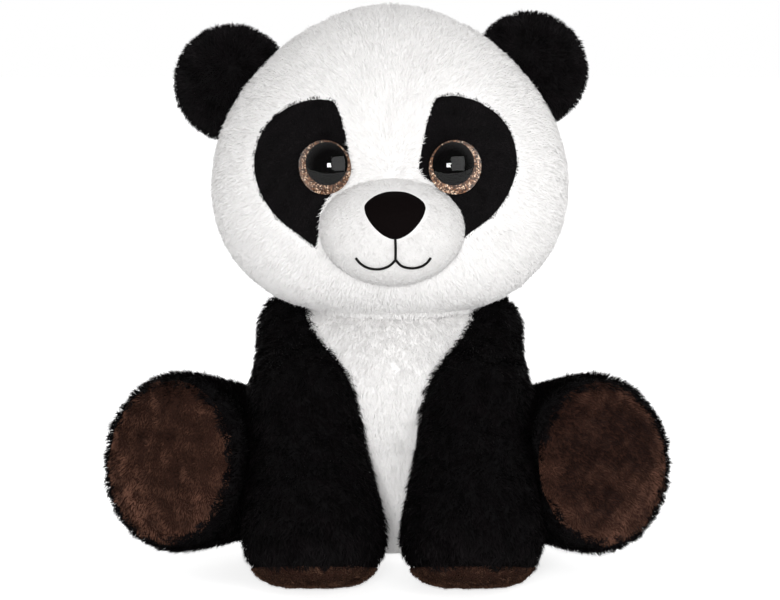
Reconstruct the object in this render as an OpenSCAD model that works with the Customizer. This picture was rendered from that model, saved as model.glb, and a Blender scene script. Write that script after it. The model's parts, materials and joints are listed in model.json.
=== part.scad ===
// Plush panda, sitting, with its arms down between its spread legs.
// Millimetres, +Z up. The toy faces -Y, and its own left side is +X.
// The origin is the middle of the flat seat on the floor.

/* [Head] */
// Half width of the head across the cheeks
head_half_width = 97; // [94:1:100]
// Half depth of the head, front to back
head_half_depth = 81; // [80:1:82]
// Height of the top of the head above the floor
head_top = 309; // [306:1:312]
// Height of the fullest part of the cheeks
cheek_height = 201; // [199:1:203]

/* [Face] */
// Diameter of each plastic eye
eye_diameter = 28.6; // [24:0.2:29]
// Distance of each eye from the middle of the face
eye_spread = 33.8; // [33:0.1:37]
// Height of the eyes above the floor
eye_height = 226; // [224:1:229]
// Width of the muzzle
muzzle_width = 77; // [72:1:78]
// Height of the middle of the muzzle above the floor
muzzle_height = 191.5; // [190:0.5:192]
// Width of the nose
nose_width = 33.5; // [28:0.5:36]

/* [Ears] */
// Radius of each round ear
ear_radius = 31; // [28:1:33]
// Thickness of a stuffed ear
ear_thickness = 20; // [16:1:22]

/* [Body] */
// Radius of the body at the hips
hip_radius = 46; // [43:1:46]
// Radius of the body at the chest
chest_radius = 33.5; // [30:0.5:34]
// Radius of the stuffed neck
neck_radius = 37; // [34:0.5:37]

/* [Arms] */
// Radius of the arm at the shoulder
shoulder_radius = 18; // [16:0.5:18]
// Radius of the arm at the paw
paw_radius = 33; // [30:0.5:33]
// Forward tilt of the sole under each paw, in degrees
paw_tilt = 18; // [12:1:22]

/* [Legs] */
// Radius of the leg where it joins the body
hip_ball_radius = 25; // [22:0.5:25]
// Radius of the foot
foot_radius = 43; // [40:0.5:43]
// Length of the leg from the hip to the sole
leg_length = 80; // [78:1:84]
// Turn of each leg outwards from straight ahead, in degrees
leg_splay = 33; // [32:1:36]

/* [Fabric] */
// Thickness of the plush fabric
fabric = 2; // [1.6:0.1:2.4]
// Gap between pieces that move against each other
clearance = 0.5; // [0.4:0.1:0.6]

/* [Hidden] */
$fn = 72;
LEFT = 1;
RIGHT = -1;
far = 400;                       // larger than any piece
ease = 0.4;                      // slack between a fabric and its stuffing
seam = 0.2;                      // half the gap between two sewn fabrics
taper_tuck = 0.06;               // how far a taper stays inside the balls at its ends
start_turn = 45;                 // where a turned form starts, well away from its sewn seams

// Head: a round crown and a wider, lower pair of cheeks, one form
head_y = -8;
crown_half_span = 10;
crown_centre = [0, head_y, head_top - head_half_depth];
cheek_radius = 52;
cheek_half_span = head_half_width - cheek_radius;
cheek_centre = [0, head_y, cheek_height];
face_seam_y = -18;
gusset_half_width = 38;

// Neck: a ball that the head and the body both fit round
neck_centre = [0, 0, 146];

// Muzzle, nose and mouth
muzzle_radius = 29;
muzzle_half_span = muzzle_width / 2 - muzzle_radius;
muzzle_centre = [0, -77, muzzle_height];
muzzle_back_y = -66;
nose_top_z = muzzle_height + 22;
nose_tip_z = muzzle_height - 1.5;
nose_corner = 5;
mouth_curve = 10;
mouth_z = muzzle_height - 8;
thread = 1;
thread_gap = 1;                  // between the nose and the top stitch of the mouth

// Eyes
eye_radius = eye_diameter / 2;
eye_y = -85.6;
eye_turn = 16;
pupil_radius = eye_radius * 0.8;
pupil_lift = 2;
pupil_inward = 1.2;
iris_thick = 1;
dome_rise = 7;
post_radius = 2.6;
post_length = 12;
washer_radius = 8;
patch_top = [42, 233];
patch_top_radius = 27;
patch_tip = [50, 200];
patch_tip_radius = 17;

// Ears
ear_centre_left = [77.5, 4, 274];   // sewn on a little higher than the right one
ear_centre_right = [-88, 4, 267];
ear_root_radius = 94;
wadding_gap = 4;                 // how far the wadding stays clear of the sewn root

// Body
body_y = 3;
hip_z = 30;
chest_z = 106;
seat_rim = 6;
belly_fold_z = 62;
yoke_z = 92;
bag_radius = 26;
bag_thick = 20;
bag_z = fabric + 2 * ease;
stitch_count = 7;
stitch_pitch = 5;
stitch_low_z = 40;
stitch_size = [5, 1];

// Arms
shoulder = [54, -10, 126];
paw = [39, -82, 28];
sole_drop = 20;                  // from the middle of the paw to its sole
sole_thick = 2.5;

// Legs
foot_centre = [117, -62, 62];
leg_rise = 9;                    // how far the foot is above the hip, in degrees
rim_radius = 11;
shank = 48;                      // length of the slim part of the leg, from the hip
root_flat = 0.8;                 // where a limb is cut flat to be sewn on, as a share of its root radius

function side_of(point, side) = [side * point.x, point.y, point.z];
function ear_centre(side) = side > 0 ? ear_centre_left : ear_centre_right;
function leg_direction(side) = [
    side * sin(leg_splay) * cos(leg_rise), -cos(leg_splay) * cos(leg_rise), sin(leg_rise)
];
function hip(side) = side_of(foot_centre, side) - leg_length * leg_direction(side);

// Keeps what lies inside a box between two corners
module keep(low, high) {
    intersection() {
        children();
        translate(low) cube(high - low);
    }
}

// Two equal balls side by side and all between them
module twin_ball(centre, half_span, r) {
    translate(centre - [half_span, 0, 0]) rotate([0, 90, 0]) two_ball_limb(2 * half_span, r, r);
}

module head_form(grow = 0) {
    difference() {
        union() {
            twin_ball(crown_centre, crown_half_span, head_half_depth + grow);
            twin_ball(cheek_centre, cheek_half_span, cheek_radius + grow);
        }
        neck_socket(clearance);
    }
}

module head_skin() {
    difference() {
        head_form();
        head_form(-fabric);
    }
}

// The hollow of the head, which its stuffing fills
module head_hollow() {
    twin_ball(crown_centre, crown_half_span, head_half_depth - fabric);
    twin_ball(cheek_centre, cheek_half_span, cheek_radius - fabric);
}

module muzzle_form(grow = 0) {
    twin_ball(muzzle_centre, muzzle_half_span, muzzle_radius + grow);
}

// A drawing seen from the front, pushed forward through the face from a depth
module stamped(from_y) {
    translate([0, from_y, 0]) rotate([90, 0, 0]) linear_extrude(height = far / 2) children();
}

// A wide round top that narrows to a smaller round tip
module patch_outline(side, grow = 0) {
    hull() {
        translate([side * patch_top.x, patch_top.y]) circle(r = patch_top_radius + grow, $fn = 40);
        translate([side * patch_tip.x, patch_tip.y]) circle(r = patch_tip_radius + grow, $fn = 40);
    }
}

// Local +Z looks out of the face at an eye
module at_eye(side) {
    translate([side * eye_spread, eye_y, eye_height]) rotate([90, 0, side * eye_turn]) children();
}

module post_hole(side) {
    at_eye(side) translate([0, 0, -post_length - 6])
        cylinder(r = post_radius + seam, h = post_length + 12);
}

module head_face() {
    color("white") difference() {
        keep([-far, -far, -far], [far, face_seam_y - seam, far]) head_skin();
        muzzle_form(seam);
        for (side = [RIGHT, LEFT]) stamped(face_seam_y) patch_outline(side, seam);
    }
}

module head_side(side) {
    color("white") keep(
        [side > 0 ? gusset_half_width + seam : -far, face_seam_y + seam, -far],
        [side > 0 ? far : -gusset_half_width - seam, far, far]
    ) head_skin();
}

module head_gusset() {
    color("white") keep([-gusset_half_width, face_seam_y + seam, -far], [gusset_half_width, far, far])
        head_skin();
}

module head_stuffing() {
    color("ghostwhite") difference() {
        union() {
            head_form(-fabric - ease);
            muzzle_form(-fabric - ease);
        }
        neck_socket(clearance + ease);
        for (side = [RIGHT, LEFT]) at_eye(side)
            translate([0, 0, -post_length - 1]) cylinder(r = washer_radius + 1, h = post_length + 9);
    }
}

module eye_patch(side) {
    color([0.08, 0.07, 0.08]) difference() {
        intersection() {
            twin_ball(crown_centre, crown_half_span, head_half_depth);
            stamped(face_seam_y) patch_outline(side);
        }
        head_hollow();
        muzzle_form(seam);
        post_hole(side);
    }
}

module muzzle() {
    color("white") keep([-far, -far, 0], [far, muzzle_back_y, far]) difference() {
        muzzle_form();
        muzzle_form(-fabric);
        head_hollow();
    }
}

module nose() {
    color([0.14, 0.1, 0.09]) difference() {
        intersection() {
            muzzle_form(sole_thick);
            stamped(muzzle_back_y) hull() {
                for (side = [RIGHT, LEFT])
                    translate([side * (nose_width / 2 - nose_corner), nose_top_z - nose_corner])
                        circle(r = nose_corner, $fn = 24);
                translate([0, nose_tip_z + nose_corner / 2]) circle(r = nose_corner / 2, $fn = 24);
            }
        }
        muzzle_form(seam);
    }
}

module mouth_stitching() {
    color([0.05, 0.05, 0.05]) difference() {
        intersection() {
            muzzle_form(thread);
            stamped(muzzle_back_y) {
                translate([-thread / 2, mouth_z]) square([thread, nose_tip_z - mouth_z - thread_gap]);
                for (side = [RIGHT, LEFT]) translate([side * mouth_curve, mouth_z]) difference() {
                    circle(r = mouth_curve + thread / 2);
                    circle(r = mouth_curve - thread / 2);
                    translate([-far, 0]) square(2 * far);
                }
            }
        }
        muzzle_form(seam);
    }
}

module eye_iris(side) {
    color([0.78, 0.5, 0.32]) at_eye(side) difference() {
        translate([0, 0, iris_thick]) cylinder(r = eye_radius, h = iris_thick);
        cylinder(r = post_radius + seam / 2, h = 3 * iris_thick);
    }
}

module eye_pupil_post(side) {
    color([0.02, 0.02, 0.02]) at_eye(side) {
        translate([0, 0, -post_length]) cylinder(r = post_radius, h = post_length + 2.5 * iris_thick);
        translate([-side * pupil_inward, pupil_lift, 2.1 * iris_thick])
            cylinder(r = pupil_radius, h = 0.8 * iris_thick);
    }
}

module eye_lens(side) {
    dome_radius = (eye_radius * eye_radius + dome_rise * dome_rise) / (2 * dome_rise);
    dome_base = 3 * iris_thick;
    color([0.9, 0.95, 1, 0.4]) at_eye(side) intersection() {
        translate([0, 0, dome_base + dome_rise - dome_radius]) sphere(r = dome_radius);
        translate([0, 0, dome_base]) cylinder(r = eye_radius, h = 2 * dome_rise);
    }
}

module eye_washer(side) {
    color("gainsboro") at_eye(side) difference() {
        translate([0, 0, -fabric - 4]) cylinder(r = washer_radius, h = 1.5);
        translate([0, 0, -far / 2]) cylinder(r = post_radius + 0.05, h = far);
    }
}

// A round pad with a half round rim
module ear_form(side, grow = 0) {
    rim = ear_thickness / 2 + grow;
    translate(ear_centre(side)) rotate([90, 0, 0]) rotate([0, 0, side > 0 ? start_turn : 3 * start_turn])
        rotate_extrude() intersection() {
            union() {
                translate([ear_radius + grow - rim, 0]) circle(r = rim);
                translate([0, -rim]) square([ear_radius + grow - rim, 2 * rim]);
            }
            translate([0, -far / 2]) square([far, far]);
        }
}

// A ball round the crown that the ears stop short of
module ear_root(grow = 0) {
    translate(crown_centre) sphere(r = ear_root_radius + grow);
}

module ear_skin(side) {
    difference() {
        ear_form(side);
        ear_form(side, -fabric);
        ear_root();
    }
}

module ear_front(side) {
    color([0.08, 0.07, 0.08]) keep([-far, -far, 0], [far, ear_centre(side).y - seam, far]) ear_skin(side);
}

module ear_back(side) {
    color([0.08, 0.07, 0.08]) keep([-far, ear_centre(side).y + seam, 0], [far, far, far]) ear_skin(side);
}

module ear_wadding(side) {
    color("ghostwhite") difference() {
        ear_form(side, -fabric - ease);
        ear_root(wadding_gap);
    }
}

module neck_panel() {
    color("white") translate(neck_centre) difference() {
        sphere(r = neck_radius);
        sphere(r = neck_radius - fabric);
    }
}

module neck_stuffing() {
    color("ghostwhite") translate(neck_centre) sphere(r = neck_radius - fabric - ease);
}

// A body of revolution from a ball at one point to a ball at another, along local +Z
module two_ball_limb(length, root_r, end_r) {
    lean = (root_r - end_r) / length;
    reach = sqrt(1 - lean * lean);
    tuck = lean == 0 ? 0 : taper_tuck;
    rotate_extrude() intersection() {
        union() {
            circle(r = root_r);
            translate([0, length]) circle(r = end_r);
            polygon([
                [0, 0], [root_r * reach, root_r * lean] * (1 - tuck / root_r),
                [0, length] + [end_r * reach, end_r * lean] * (1 - tuck / end_r), [0, length]
            ]);
        }
        translate([0, -far / 2]) square([far, far]);
    }
}

// A form along local +Z from a ball, along a slim shank, to a wide flat end with a rounded rim
module flat_ended_limb(length, root_r, end_r, rim_r) {
    rim = [end_r - rim_r, length - rim_r];
    rotate_extrude() intersection() {
        union() {
            circle(r = root_r);
            translate(rim) circle(r = rim_r);
            polygon([[0, 0], [root_r, 0], [root_r, shank], [end_r, rim.y], [rim.x, length], [0, length]]);
        }
        translate([0, -far / 2]) square([far, far]);
    }
}

// Everything behind the flat root of a limb that runs along local +Z
module behind_root(root_r) {
    translate([-far / 2, -far / 2, -far - root_r * root_flat]) cube(far);
}

// Places local +Z along a direction that starts at a point
module aimed(start, direction) {
    translate(start)
        rotate([0, acos(direction.z / norm(direction)), atan2(direction.y, direction.x)]) children();
}

module arm_blank(side, grow = 0) {
    start = side_of(shoulder, side);
    direction = side_of(paw, side) - start;
    aimed(start, direction) rotate([0, 0, start_turn])
        two_ball_limb(norm(direction), shoulder_radius + grow, paw_radius + grow);
}

// Everything beyond the plane of the paw's sole; inset moves the plane up into the paw
module below_sole(side, inset = 0) {
    translate(side_of(paw, side)) rotate([-paw_tilt, 0, 0])
        translate([-far / 2, -far / 2, -far - sole_drop + inset]) cube(far);
}

module arm_skin_half(side, outer) {
    start = side_of(shoulder, side);
    direction = side_of(paw, side) - start;
    difference() {
        intersection() {
            arm_blank(side);
            aimed(start, direction)
                translate([-far / 2, outer * side > 0 ? seam : -far - seam, -far / 2]) cube(far);
        }
        arm_blank(side, -fabric);
        below_sole(side, sole_thick + seam);
        aimed(start, direction) behind_root(shoulder_radius);
    }
}

module arm_outer(side) {
    color([0.05, 0.045, 0.05]) arm_skin_half(side, 1);
}

module arm_inner(side) {
    color([0.05, 0.045, 0.05]) arm_skin_half(side, -1);
}

module paw_sole(side) {
    color([0.4, 0.26, 0.19]) difference() {
        intersection() {
            arm_blank(side);
            below_sole(side, sole_thick);
        }
        below_sole(side);
    }
}

module arm_stuffing(side) {
    color("ghostwhite") difference() {
        arm_blank(side, -fabric - ease);
        below_sole(side, sole_thick + ease);
    }
}

module leg_blank(side, grow = 0) {
    aimed(hip(side), leg_direction(side))
        flat_ended_limb(leg_length + grow, hip_ball_radius + grow, foot_radius + grow, rim_radius + grow);
}

module sole_disc(side, grow = 0) {
    aimed(hip(side), leg_direction(side)) translate([0, 0, leg_length - sole_thick - grow])
        cylinder(r = foot_radius - rim_radius + grow, h = sole_thick + 2 * grow);
}

module leg_skin_half(side, lower) {
    difference() {
        intersection() {
            leg_blank(side);
            aimed(hip(side), leg_direction(side))
                translate([lower ? seam : -far - seam, -far / 2, -far / 2]) cube(far);
        }
        leg_blank(side, -fabric);
        sole_disc(side, seam);
        aimed(hip(side), leg_direction(side)) behind_root(hip_ball_radius);
    }
}

module leg_upper(side) {
    color([0.05, 0.045, 0.05]) leg_skin_half(side, false);
}

module leg_lower(side) {
    color([0.05, 0.045, 0.05]) leg_skin_half(side, true);
}

module foot_sole(side) {
    color([0.33, 0.2, 0.15]) sole_disc(side);
}

module leg_stuffing(side) {
    color("ghostwhite") difference() {
        leg_blank(side, -fabric - ease);
        sole_disc(side, ease);
    }
}

module body_blank(grow = 0) {
    keep([-far, -far, -grow], [far, far, far])
        translate([0, body_y, hip_z]) rotate([0, 0, start_turn])
            two_ball_limb(chest_z - hip_z, hip_radius + grow, chest_radius + grow);
}

module neck_socket(gap) {
    translate(neck_centre) sphere(r = neck_radius + gap);
}

module body_skin() {
    difference() {
        body_blank();
        body_blank(-fabric);
        neck_socket(clearance);
    }
}

module belly_panel() {
    color("white") keep([-far, -far, belly_fold_z + seam], [far, body_y - seam, far]) body_skin();
}

module under_belly_panel() {
    color("white")
        keep([-far, -far, seat_rim + seam], [far, body_y - seam, belly_fold_z - seam]) body_skin();
}

module back_yoke() {
    color([0.05, 0.045, 0.05])
        keep([-far, body_y + seam, yoke_z + seam], [far, far, far]) body_skin();
}

module lower_back_panel() {
    color("white")
        keep([-far, body_y + seam, seat_rim + seam], [far, far, yoke_z - seam]) body_skin();
}

module seat_panel() {
    color("white") keep([-far, -far, 0], [far, far, seat_rim - seam]) body_skin();
}

// A round bag with a half round rim, lying flat in the seat
module bag_form(grow = 0) {
    rim = bag_thick / 2 + grow;
    translate([0, body_y, bag_z + bag_thick / 2]) rotate_extrude() intersection() {
        union() {
            translate([bag_radius + grow - rim, 0]) circle(r = rim);
            translate([0, -rim]) square([bag_radius + grow - rim, 2 * rim]);
        }
        translate([0, -far / 2]) square([far, far]);
    }
}

module body_stuffing() {
    color("ghostwhite") difference() {
        body_blank(-fabric - ease);
        neck_socket(clearance + ease);
        bag_form(ease);
        translate([0, body_y, 0]) cylinder(r = bag_radius + ease, h = bag_z + bag_thick / 2);
    }
}

module pellet_bag() {
    color("beige") bag_form();
}

module closing_stitches() {
    color("snow") difference() {
        intersection() {
            body_blank(thread);
            union() {
                for (step = [0 : stitch_count - 1])
                    translate([-stitch_size.x / 2, 0, stitch_low_z + step * stitch_pitch])
                        cube([stitch_size.x, far, stitch_size.y]);
            }
        }
        body_blank(seam);
    }
}

module care_label() {
    color("white") translate([24, body_y + 41, 24]) cube([0.5, 18, 15]);
}

head_face();
head_side(LEFT);  // head_side_left
head_side(RIGHT);  // head_side_right
head_gusset();
head_stuffing();
eye_patch(LEFT);  // eye_patch_left
eye_patch(RIGHT);  // eye_patch_right
muzzle();
nose();
mouth_stitching();
eye_lens(LEFT);  // eye_lens_left
eye_lens(RIGHT);  // eye_lens_right
eye_iris(LEFT);  // eye_iris_left
eye_iris(RIGHT);  // eye_iris_right
eye_pupil_post(LEFT);  // eye_pupil_post_left
eye_pupil_post(RIGHT);  // eye_pupil_post_right
eye_washer(LEFT);  // eye_washer_left
eye_washer(RIGHT);  // eye_washer_right
ear_front(LEFT);  // ear_front_left
ear_front(RIGHT);  // ear_front_right
ear_back(LEFT);  // ear_back_left
ear_back(RIGHT);  // ear_back_right
ear_wadding(LEFT);  // ear_wadding_left
ear_wadding(RIGHT);  // ear_wadding_right
neck_panel();
neck_stuffing();
belly_panel();
under_belly_panel();
back_yoke();
lower_back_panel();
seat_panel();
body_stuffing();
pellet_bag();
closing_stitches();
care_label();
arm_outer(LEFT);  // arm_outer_left
arm_outer(RIGHT);  // arm_outer_right
arm_inner(LEFT);  // arm_inner_left
arm_inner(RIGHT);  // arm_inner_right
paw_sole(LEFT);  // paw_sole_left
paw_sole(RIGHT);  // paw_sole_right
arm_stuffing(LEFT);  // arm_stuffing_left
arm_stuffing(RIGHT);  // arm_stuffing_right
leg_upper(LEFT);  // leg_upper_left
leg_upper(RIGHT);  // leg_upper_right
leg_lower(LEFT);  // leg_lower_left
leg_lower(RIGHT);  // leg_lower_right
foot_sole(LEFT);  // foot_sole_left
foot_sole(RIGHT);  // foot_sole_right
leg_stuffing(LEFT);  // leg_stuffing_left
leg_stuffing(RIGHT);  // leg_stuffing_right
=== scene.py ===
"""A sitting plush panda, put together in the order a toy maker would sew and stuff it.

Shapes are worked out in millimetres, in the frame of the CAD model, and become metres as a mesh is made.
The toy sits on the floor at z = 0, faces -Y, and its own left side is +X.
"""

import json
import math

import bmesh
import bpy
import numpy as np
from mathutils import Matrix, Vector
from mathutils.bvhtree import BVHTree


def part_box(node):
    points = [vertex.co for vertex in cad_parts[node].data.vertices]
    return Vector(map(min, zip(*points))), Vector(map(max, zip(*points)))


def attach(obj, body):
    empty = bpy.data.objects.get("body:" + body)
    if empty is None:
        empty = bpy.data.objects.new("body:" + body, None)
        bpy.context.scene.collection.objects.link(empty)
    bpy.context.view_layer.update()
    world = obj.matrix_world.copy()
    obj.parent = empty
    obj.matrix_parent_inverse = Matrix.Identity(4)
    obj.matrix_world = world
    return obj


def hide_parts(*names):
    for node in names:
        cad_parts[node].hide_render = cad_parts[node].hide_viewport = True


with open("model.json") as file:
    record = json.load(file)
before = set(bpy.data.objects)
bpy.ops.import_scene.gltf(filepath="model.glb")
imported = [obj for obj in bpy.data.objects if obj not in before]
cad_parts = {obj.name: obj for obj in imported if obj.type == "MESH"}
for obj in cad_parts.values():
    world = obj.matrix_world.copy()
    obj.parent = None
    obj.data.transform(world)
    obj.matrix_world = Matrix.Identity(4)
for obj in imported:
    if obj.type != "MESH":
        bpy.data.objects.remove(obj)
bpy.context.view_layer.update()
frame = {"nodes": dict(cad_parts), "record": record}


# Head. Four panels of long white plush, sewn edge to edge and stuffed hard: a face panel, a panel on each
# side and a gusset that runs over the crown to the back. The seams pull in a little between the panels.
MM = 0.001
LEFT, RIGHT = 1, -1
SIDES = {"left": LEFT, "right": RIGHT}


def cad_low_high(*nodes):
    """Lowest and highest corner of some CAD nodes together, in millimetres."""
    corners = np.array([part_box(node) for node in nodes]) / MM
    return corners[:, 0].min(0), corners[:, 1].max(0)


def pivot(joint_name):
    """Where a joint turns, in millimetres."""
    joint = next(j for j in frame["record"]["behaviour"]["joints"] if j["name"] == joint_name)
    return np.array(joint["pos_m"]) / MM


def unit(vectors):
    return vectors / np.maximum(np.linalg.norm(vectors, axis=-1, keepdims=True), 1e-9)


def ball(points, centre, radii):
    """How far points lie outside an oval ball, negative inside."""
    scaled = (points - np.array(centre, float)) / np.array(radii, float)
    near = np.linalg.norm(scaled, axis=-1)
    slope = np.linalg.norm(scaled / np.array(radii, float), axis=-1)
    return near * (near - 1) / np.maximum(slope, 1e-9)


def roll(points, start, end, start_radius, end_radius):
    """How far points lie outside a stuffed roll that may taper from end to end."""
    start, along = np.array(start, float), np.array(end, float) - np.array(start, float)
    share = np.clip((points - start) @ along / (along @ along), 0, 1)
    middle = start + share[..., None] * along
    return np.linalg.norm(points - middle, axis=-1) - (start_radius + share * (end_radius - start_radius))


def joined(a, b, softness):
    """Two forms that flow into each other."""
    blend = np.clip(1 - np.abs(a - b) / softness, 0, None)
    return np.minimum(a, b) - blend * blend * softness / 4


def pressed(a, b, softness):
    """Only what lies inside both forms, with a rounded edge between them."""
    return -joined(-a, -b, softness)


def wander(points, size, seed):
    """A smooth random value from -1 to 1 that changes over about the given size."""
    waves = np.random.default_rng(seed)
    total = np.zeros(len(points))
    for _ in range(6):
        direction = unit(waves.normal(size=3)) * (2 * math.pi / (size * waves.uniform(0.7, 1.5)))
        total += np.sin(points @ direction + waves.uniform(0, 2 * math.pi))
    return total / 3


def mesh_piece(name, points, faces):
    """A new object from points in millimetres."""
    mesh = bpy.data.meshes.new(name)
    mesh.from_pydata((np.asarray(points) * MM).tolist(), [], [list(map(int, face)) for face in faces])
    mesh.update()
    piece = bpy.data.objects.new(name, mesh)
    bpy.context.scene.collection.objects.link(piece)
    for polygon in mesh.polygons:
        polygon.use_smooth = True
    return piece


def stuffed_form(name, shape, start, end, rings, around, reach):
    """A closed form. Rays leave a core line, fan out from its two ends, and stop at the fabric."""
    start, end = np.array(start, float), np.array(end, float)
    axis = unit(end - start)
    side = unit(np.cross(axis, [0.31, 0.22, 0.93] if abs(axis[2]) < 0.9 else [1, 0, 0]))
    other = np.cross(axis, side)
    length = np.linalg.norm(end - start)
    quarter = reach * 0.5 * math.pi / 2
    travel = np.linspace(0, length + 2 * quarter, rings + 2)
    angles = np.linspace(0, 2 * math.pi, around, endpoint=False)
    outward = np.cos(angles)[:, None] * side + np.sin(angles)[:, None] * other
    origins, directions = [], []
    for place in travel:
        core = start + axis * np.clip(place - quarter, 0, length)
        lean = np.clip(place / quarter - 1, None, 0) + np.clip((place - quarter - length) / quarter, 0, None)
        tilt = lean * math.pi / 2
        count = 1 if abs(lean) > 0.9999 else around
        ray = outward[:count] * math.cos(tilt) + axis * math.sin(tilt)
        origins.append(np.repeat(core[None], count, 0))
        directions.append(ray)
    origins, directions = np.concatenate(origins), unit(np.concatenate(directions))
    steps = np.linspace(0, reach, 40)
    outside = np.stack([shape(origins + directions * step) > 0 for step in steps])
    first = np.where(outside.any(0), outside.argmax(0), len(steps) - 1)
    low, high = steps[np.maximum(first - 1, 0)], steps[first]
    for _ in range(14):
        middle = (low + high) / 2
        out = shape(origins + directions * middle[:, None]) > 0
        low, high = np.where(out, low, middle), np.where(out, middle, high)
    points = origins + directions * high[:, None]
    faces = []
    ring_start = [0] + [1 + ring * around for ring in range(rings)] + [1 + rings * around]
    for k in range(around):
        after = (k + 1) % around
        faces.append((0, 1 + after, 1 + k))
        faces.append((ring_start[-1], ring_start[-2] + k, ring_start[-2] + after))
        for ring in range(rings - 1):
            a, b = ring_start[ring + 1], ring_start[ring + 2]
            faces.append((a + k, a + after, b + after, b + k))
    return mesh_piece(name, points, faces)


def points_of(piece):
    """The corner points of a mesh, in millimetres."""
    values = np.empty(len(piece.data.vertices) * 3)
    piece.data.vertices.foreach_get("co", values)
    return values.reshape(-1, 3) / MM


def move_points(piece, points):
    piece.data.vertices.foreach_set("co", (points * MM).ravel())
    piece.data.update()


def plump(piece, held, cap, pressure=4.0):
    """Fills a closed form with air under cloth simulation. Points within reach of a seam stay held."""
    remesh = piece.modifiers.new("even weave", "REMESH")
    remesh.mode = "VOXEL"
    remesh.voxel_size = 0.0045
    graph = bpy.context.evaluated_depsgraph_get()
    even = bpy.data.meshes.new_from_object(piece.evaluated_get(graph))
    piece.modifiers.remove(remesh)
    piece.data = even
    start = points_of(piece)
    group = piece.vertex_groups.new(name="seams")
    near = held(start)
    for index in np.flatnonzero(near > 0.05):
        group.add([int(index)], float(near[index]), "REPLACE")
    cloth = piece.modifiers.new("stuffing", "CLOTH")
    cloth.settings.use_pressure = True
    cloth.settings.uniform_pressure_force = pressure
    cloth.settings.effector_weights.gravity = 0
    cloth.settings.vertex_group_mass = "seams"
    cloth.settings.tension_stiffness = 8
    cloth.settings.compression_stiffness = 4
    cloth.settings.bending_stiffness = 0.4
    cloth.collision_settings.use_collision = False
    cloth.point_cache.frame_start, cloth.point_cache.frame_end = 1, 20
    for moment in range(1, 21):
        bpy.context.scene.frame_set(moment)
    graph = bpy.context.evaluated_depsgraph_get()
    blown = piece.evaluated_get(graph)
    values = np.empty(len(start) * 3)
    blown.data.vertices.foreach_get("co", values)
    moved = values.reshape(-1, 3) / MM - start
    piece.modifiers.remove(cloth)
    bpy.context.scene.frame_set(1)
    far = np.linalg.norm(moved, axis=1, keepdims=True)
    move_points(piece, start + moved * np.minimum(1, cap / np.maximum(far, 1e-6)))
    for polygon in piece.data.polygons:
        polygon.use_smooth = True
    return piece


def near_seams(seams, width):
    """A value from 0 to 1 for points near any of some seams, each a function of signed distance."""
    def nearness(points):
        return np.max([np.exp(-(seam(points) / width) ** 2) for seam in seams], axis=0)
    return nearness


def cut_out(form, cuts, names, which, groove=None):
    """Cuts a form along planes and sorts its faces into panels. which gives a face's place in names."""
    if groove is not None:
        normals = np.array([v.normal for v in form.data.vertices])
        points = points_of(form)
        move_points(form, points - normals * groove(points)[:, None])
    whole = bmesh.new()
    whole.from_mesh(form.data)
    for place, normal in cuts:
        bmesh.ops.bisect_plane(whole, geom=whole.verts[:] + whole.edges[:] + whole.faces[:],
                               plane_co=Vector(place) * MM, plane_no=Vector(normal))
    centres = np.array([face.calc_center_median() for face in whole.faces]) / MM
    order = which(centres)
    panels = []
    for index, name in enumerate(names):
        part = whole.copy()
        part.faces.ensure_lookup_table()
        bmesh.ops.delete(part, geom=[f for f, k in zip(part.faces, order) if k != index], context="FACES")
        mesh = bpy.data.meshes.new(name)
        part.to_mesh(mesh)
        part.free()
        for polygon in mesh.polygons:
            polygon.use_smooth = True
        panel = bpy.data.objects.new(name, mesh)
        bpy.context.scene.collection.objects.link(panel)
        panels.append(panel)
    whole.free()
    bpy.data.objects.remove(form)
    return panels


def tree_of(*pieces):
    """What rays are sent at to find the surface of some pieces, in millimetres."""
    points, faces, start = [], [], 0
    for piece in pieces:
        here = points_of(piece)
        points.append(here)
        faces += [[start + v for v in polygon.vertices] for polygon in piece.data.polygons]
        start += len(here)
    return BVHTree.FromPolygons(np.concatenate(points).tolist(), faces)


def seen_from_front(tree, x, z, otherwise=-60.0):
    """Depth of the first surface met from in front of the toy."""
    hit = tree.ray_cast(Vector((x, -400, z)), Vector((0, 1, 0)))[0]
    return otherwise if hit is None else hit.y


class Wire:
    """A socket that sums and products can be written with."""

    def __init__(self, finish, socket):
        self.finish, self.socket = finish, socket

    def maths(self, operation, first, second):
        return self.finish.node("Math", {"operation": operation}, {0: first, 1: second})

    def __add__(self, other):
        return self.maths("ADD", self, other)

    def __sub__(self, other):
        return self.maths("SUBTRACT", self, other)

    def __rsub__(self, other):
        return self.maths("SUBTRACT", other, self)

    def __mul__(self, other):
        return self.maths("MULTIPLY", self, other)

    __radd__, __rmul__ = __add__, __mul__

    def __pow__(self, other):
        return self.maths("POWER", self, other)


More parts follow.
